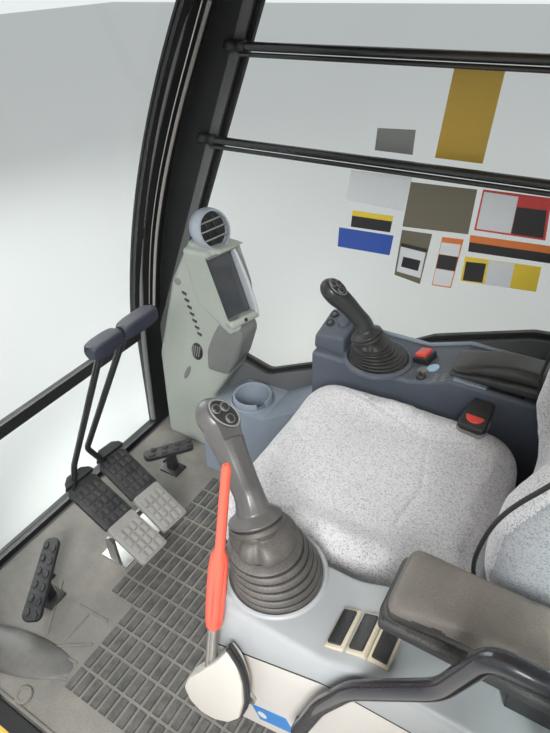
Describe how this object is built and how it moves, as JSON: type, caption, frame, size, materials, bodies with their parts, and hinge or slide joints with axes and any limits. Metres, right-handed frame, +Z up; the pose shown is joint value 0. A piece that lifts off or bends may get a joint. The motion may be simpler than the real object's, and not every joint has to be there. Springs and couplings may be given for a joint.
{
  "type": "operator's cab of a crawler excavator",
  "caption": "Hollow operator's cab with glazed walls, open side door, roof hatch, seat, tilting side console, joysticks, travel pedals with levers and a display column.",
  "frame": {"origin": "centre of the four cab mount holes, on the underside of the base frame", "axes": "+X forward towards the front window, +Y to the operator's left towards the door, +Z up"},
  "size_m": [2.3427, 1.191, 1.625],
  "materials": {
    "cab_shell": "machine yellow paint, satin, dusty",
    "pillar_black": "black satin paint with rubber seals",
    "glass": "clear tinted safety glass",
    "floor_rubber": "ribbed dark grey rubber with pale dust",
    "trim_grey": "moulded grey-green plastic, fine grain",
    "console_light": "moulded light grey plastic",
    "console_dark": "moulded dark blue-grey plastic",
    "black_plastic": "black moulded plastic",
    "stick_grey": "dark grey semi-gloss grip",
    "boot_rubber": "soft dusty rubber bellows",
    "pedal_rubber": "black rubber with raised blocks",
    "black_steel": "black painted steel rod",
    "bare_steel": "plain steel",
    "seat_cloth": "light grey speckled woven cloth",
    "seat_plastic": "black seat trim and suspension",
    "armrest_vinyl": "brown-grey grained vinyl",
    "lever_red": "coral red moulded grip on a beige base",
    "screen": "dark display behind a clear cover"
  },
  "bodies": {
    "cab": {"base_frame": "cab_shell", "floor_mat": "floor_rubber", "right_wall": "cab_shell", "left_wall": "cab_shell", "rear_wall": "cab_shell", "front_frame": "pillar_black", "upper_window_frame": "pillar_black", "upper_front_glass": "glass", "lower_front_glass": "glass", "right_glass": "glass", "quarter_glass": "glass", "rear_glass": "glass", "roof_panel": "cab_shell", "hatch_hinges": "black_steel", "door_hinges": "black_steel", "guard_bars": "black_steel", "monitor_column": "trim_grey", "monitor_housing": "trim_grey", "monitor_screen": "screen", "air_vent": "black_plastic", "right_trim": "console_light", "cup_holder": "console_light", "right_console": "console_dark", "right_switch_box": "console_dark", "right_boot": "boot_rubber", "right_armrest": "black_plastic", "right_armrest_post": "seat_plastic", "console_bracket": "seat_plastic", "seat_pedestal": "seat_plastic", "seat_rails": "bare_steel", "pedal_bracket": "bare_steel", "side_pedal_left": "pedal_rubber", "side_pedal_right": "pedal_rubber"},
    "door": {"door_panel": "cab_shell", "door_upper_glass": "glass", "door_lower_glass": "glass", "door_handle": "black_plastic", "door_grab_bar": "black_steel"},
    "hatch": {"roof_hatch": "cab_shell"},
    "seat": {"seat_base": "seat_plastic", "seat_cushion": "seat_cloth", "belt_buckle": "black_plastic"},
    "backrest": {"seat_backrest": "seat_cloth"},
    "console": {"left_console": "console_light", "left_boot": "boot_rubber", "left_armrest": "armrest_vinyl", "left_armrest_post": "seat_plastic", "console_handle": "black_steel", "lever_pivot": "bare_steel"},
    "gate_lever": {"gate_lock_lever": "lever_red"},
    "left_stick": {"left_joystick": "stick_grey"},
    "right_stick": {"right_joystick": "stick_grey"},
    "left_travel": {"travel_pedal_left": "pedal_rubber", "travel_lever_left": "black_steel"},
    "right_travel": {"travel_pedal_right": "pedal_rubber", "travel_lever_right": "black_steel"}
  },
  "joints": [
    {"name": "door_swing", "type": "hinge", "parent": "cab", "child": "door", "pos_m": [-0.5, 0.545, 0.8], "axis": [0, 0, 1], "range_deg": [-180, 0]},
    {"name": "hatch_lift", "type": "hinge", "parent": "cab", "child": "hatch", "pos_m": [-0.468, 0, 1.615], "axis": [0, -1, 0], "range_deg": [0, 70]},
    {"name": "seat_slide", "type": "slide", "parent": "cab", "child": "seat", "axis": [1, 0, 0], "range_m": [-0.05, 0.08]},
    {"name": "backrest_recline", "type": "hinge", "parent": "seat", "child": "backrest", "pos_m": [-0.49, -0.08, 0.52], "axis": [0, -1, 0], "range_deg": [-5, 10]},
    {"name": "console_tilt", "type": "hinge", "parent": "cab", "child": "console", "pos_m": [-0.56, 0.2325, 0.408], "axis": [0, -1, 0], "range_deg": [0, 20]},
    {"name": "gate_lever_turn", "type": "hinge", "parent": "console", "child": "gate_lever", "pos_m": [-0.045, 0.321, 0.33], "axis": [0, 1, 0], "range_deg": [0, 40]},
    {"name": "left_stick_tilt", "type": "hinge", "parent": "console", "child": "left_stick", "pos_m": [-0.135, 0.215, 0.6513], "axis": [0, 1, 0], "range_deg": [-12, 12], "stiffness_Nm_per_rad": 3},
    {"name": "right_stick_tilt", "type": "hinge", "parent": "cab", "child": "right_stick", "pos_m": [-0.053, -0.372, 0.6513], "axis": [0, 1, 0], "range_deg": [-12, 12], "stiffness_Nm_per_rad": 3},
    {"name": "left_travel_tilt", "type": "hinge", "parent": "cab", "child": "left_travel", "pos_m": [0.48, 0.042, 0.14], "axis": [0, 1, 0], "range_deg": [-8, 8], "stiffness_Nm_per_rad": 40},
    {"name": "right_travel_tilt", "type": "hinge", "parent": "cab", "child": "right_travel", "pos_m": [0.48, -0.0675, 0.14], "axis": [0, 1, 0], "range_deg": [-8, 8], "stiffness_Nm_per_rad": 40}
  ]
}
